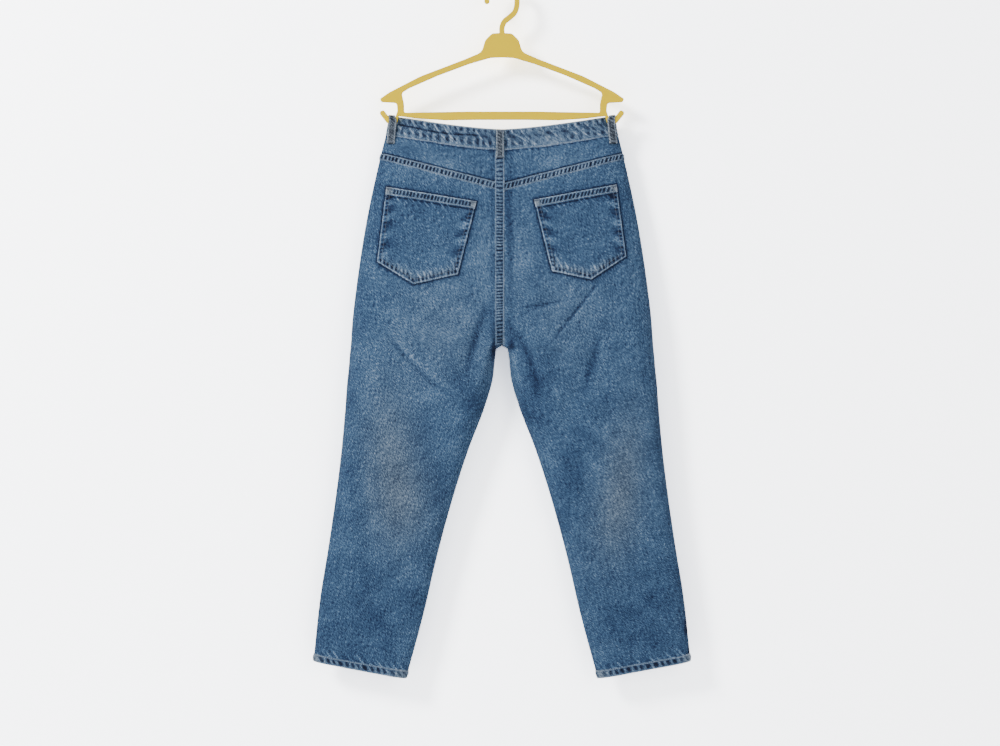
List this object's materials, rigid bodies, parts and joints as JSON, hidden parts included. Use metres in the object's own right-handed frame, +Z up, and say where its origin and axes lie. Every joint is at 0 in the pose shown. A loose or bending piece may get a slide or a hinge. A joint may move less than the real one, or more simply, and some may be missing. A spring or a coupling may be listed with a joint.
{
  "type": "ankle-length jeans on a clothes hanger",
  "caption": "Ankle-length denim jeans with a tapered leg and pockets, hung by their belt loops on a flat moulded clothes hanger, seen from the seat side.",
  "frame": {"origin": "inside of the hanger hook's crown, where a rail bears, midway through the hanger's thickness", "axes": "+Z up, +X to the right of someone who faces the seat of the jeans, -Y towards them, so that the fly faces +Y and the wearer's left is at -X"},
  "size_m": [0.65, 0.0584, 1.2034],
  "materials": {
    "denim": "mid-blue washed twill",
    "denim_worn": "mid-blue washed twill, paler on raised strips",
    "yellow_plastic": "semi-gloss moulded",
    "button_metal": "dull aged"
  },
  "bodies": {
    "root": {"hanger": "yellow_plastic", "waistband": "denim", "yoke_left": "denim", "yoke_right": "denim", "back_panel_left": "denim", "back_panel_right": "denim", "front_panel_left": "denim", "front_panel_right": "denim", "pocket_facing_left": "denim", "pocket_facing_right": "denim", "back_pocket_left": "denim", "back_pocket_right": "denim", "fly_flap": "denim", "belt_loop_back": "denim_worn", "belt_loop_back_left": "denim_worn", "belt_loop_back_right": "denim_worn", "belt_loop_front_left": "denim_worn", "belt_loop_front_right": "denim_worn", "waist_button": "button_metal"}
  },
  "joints": []
}
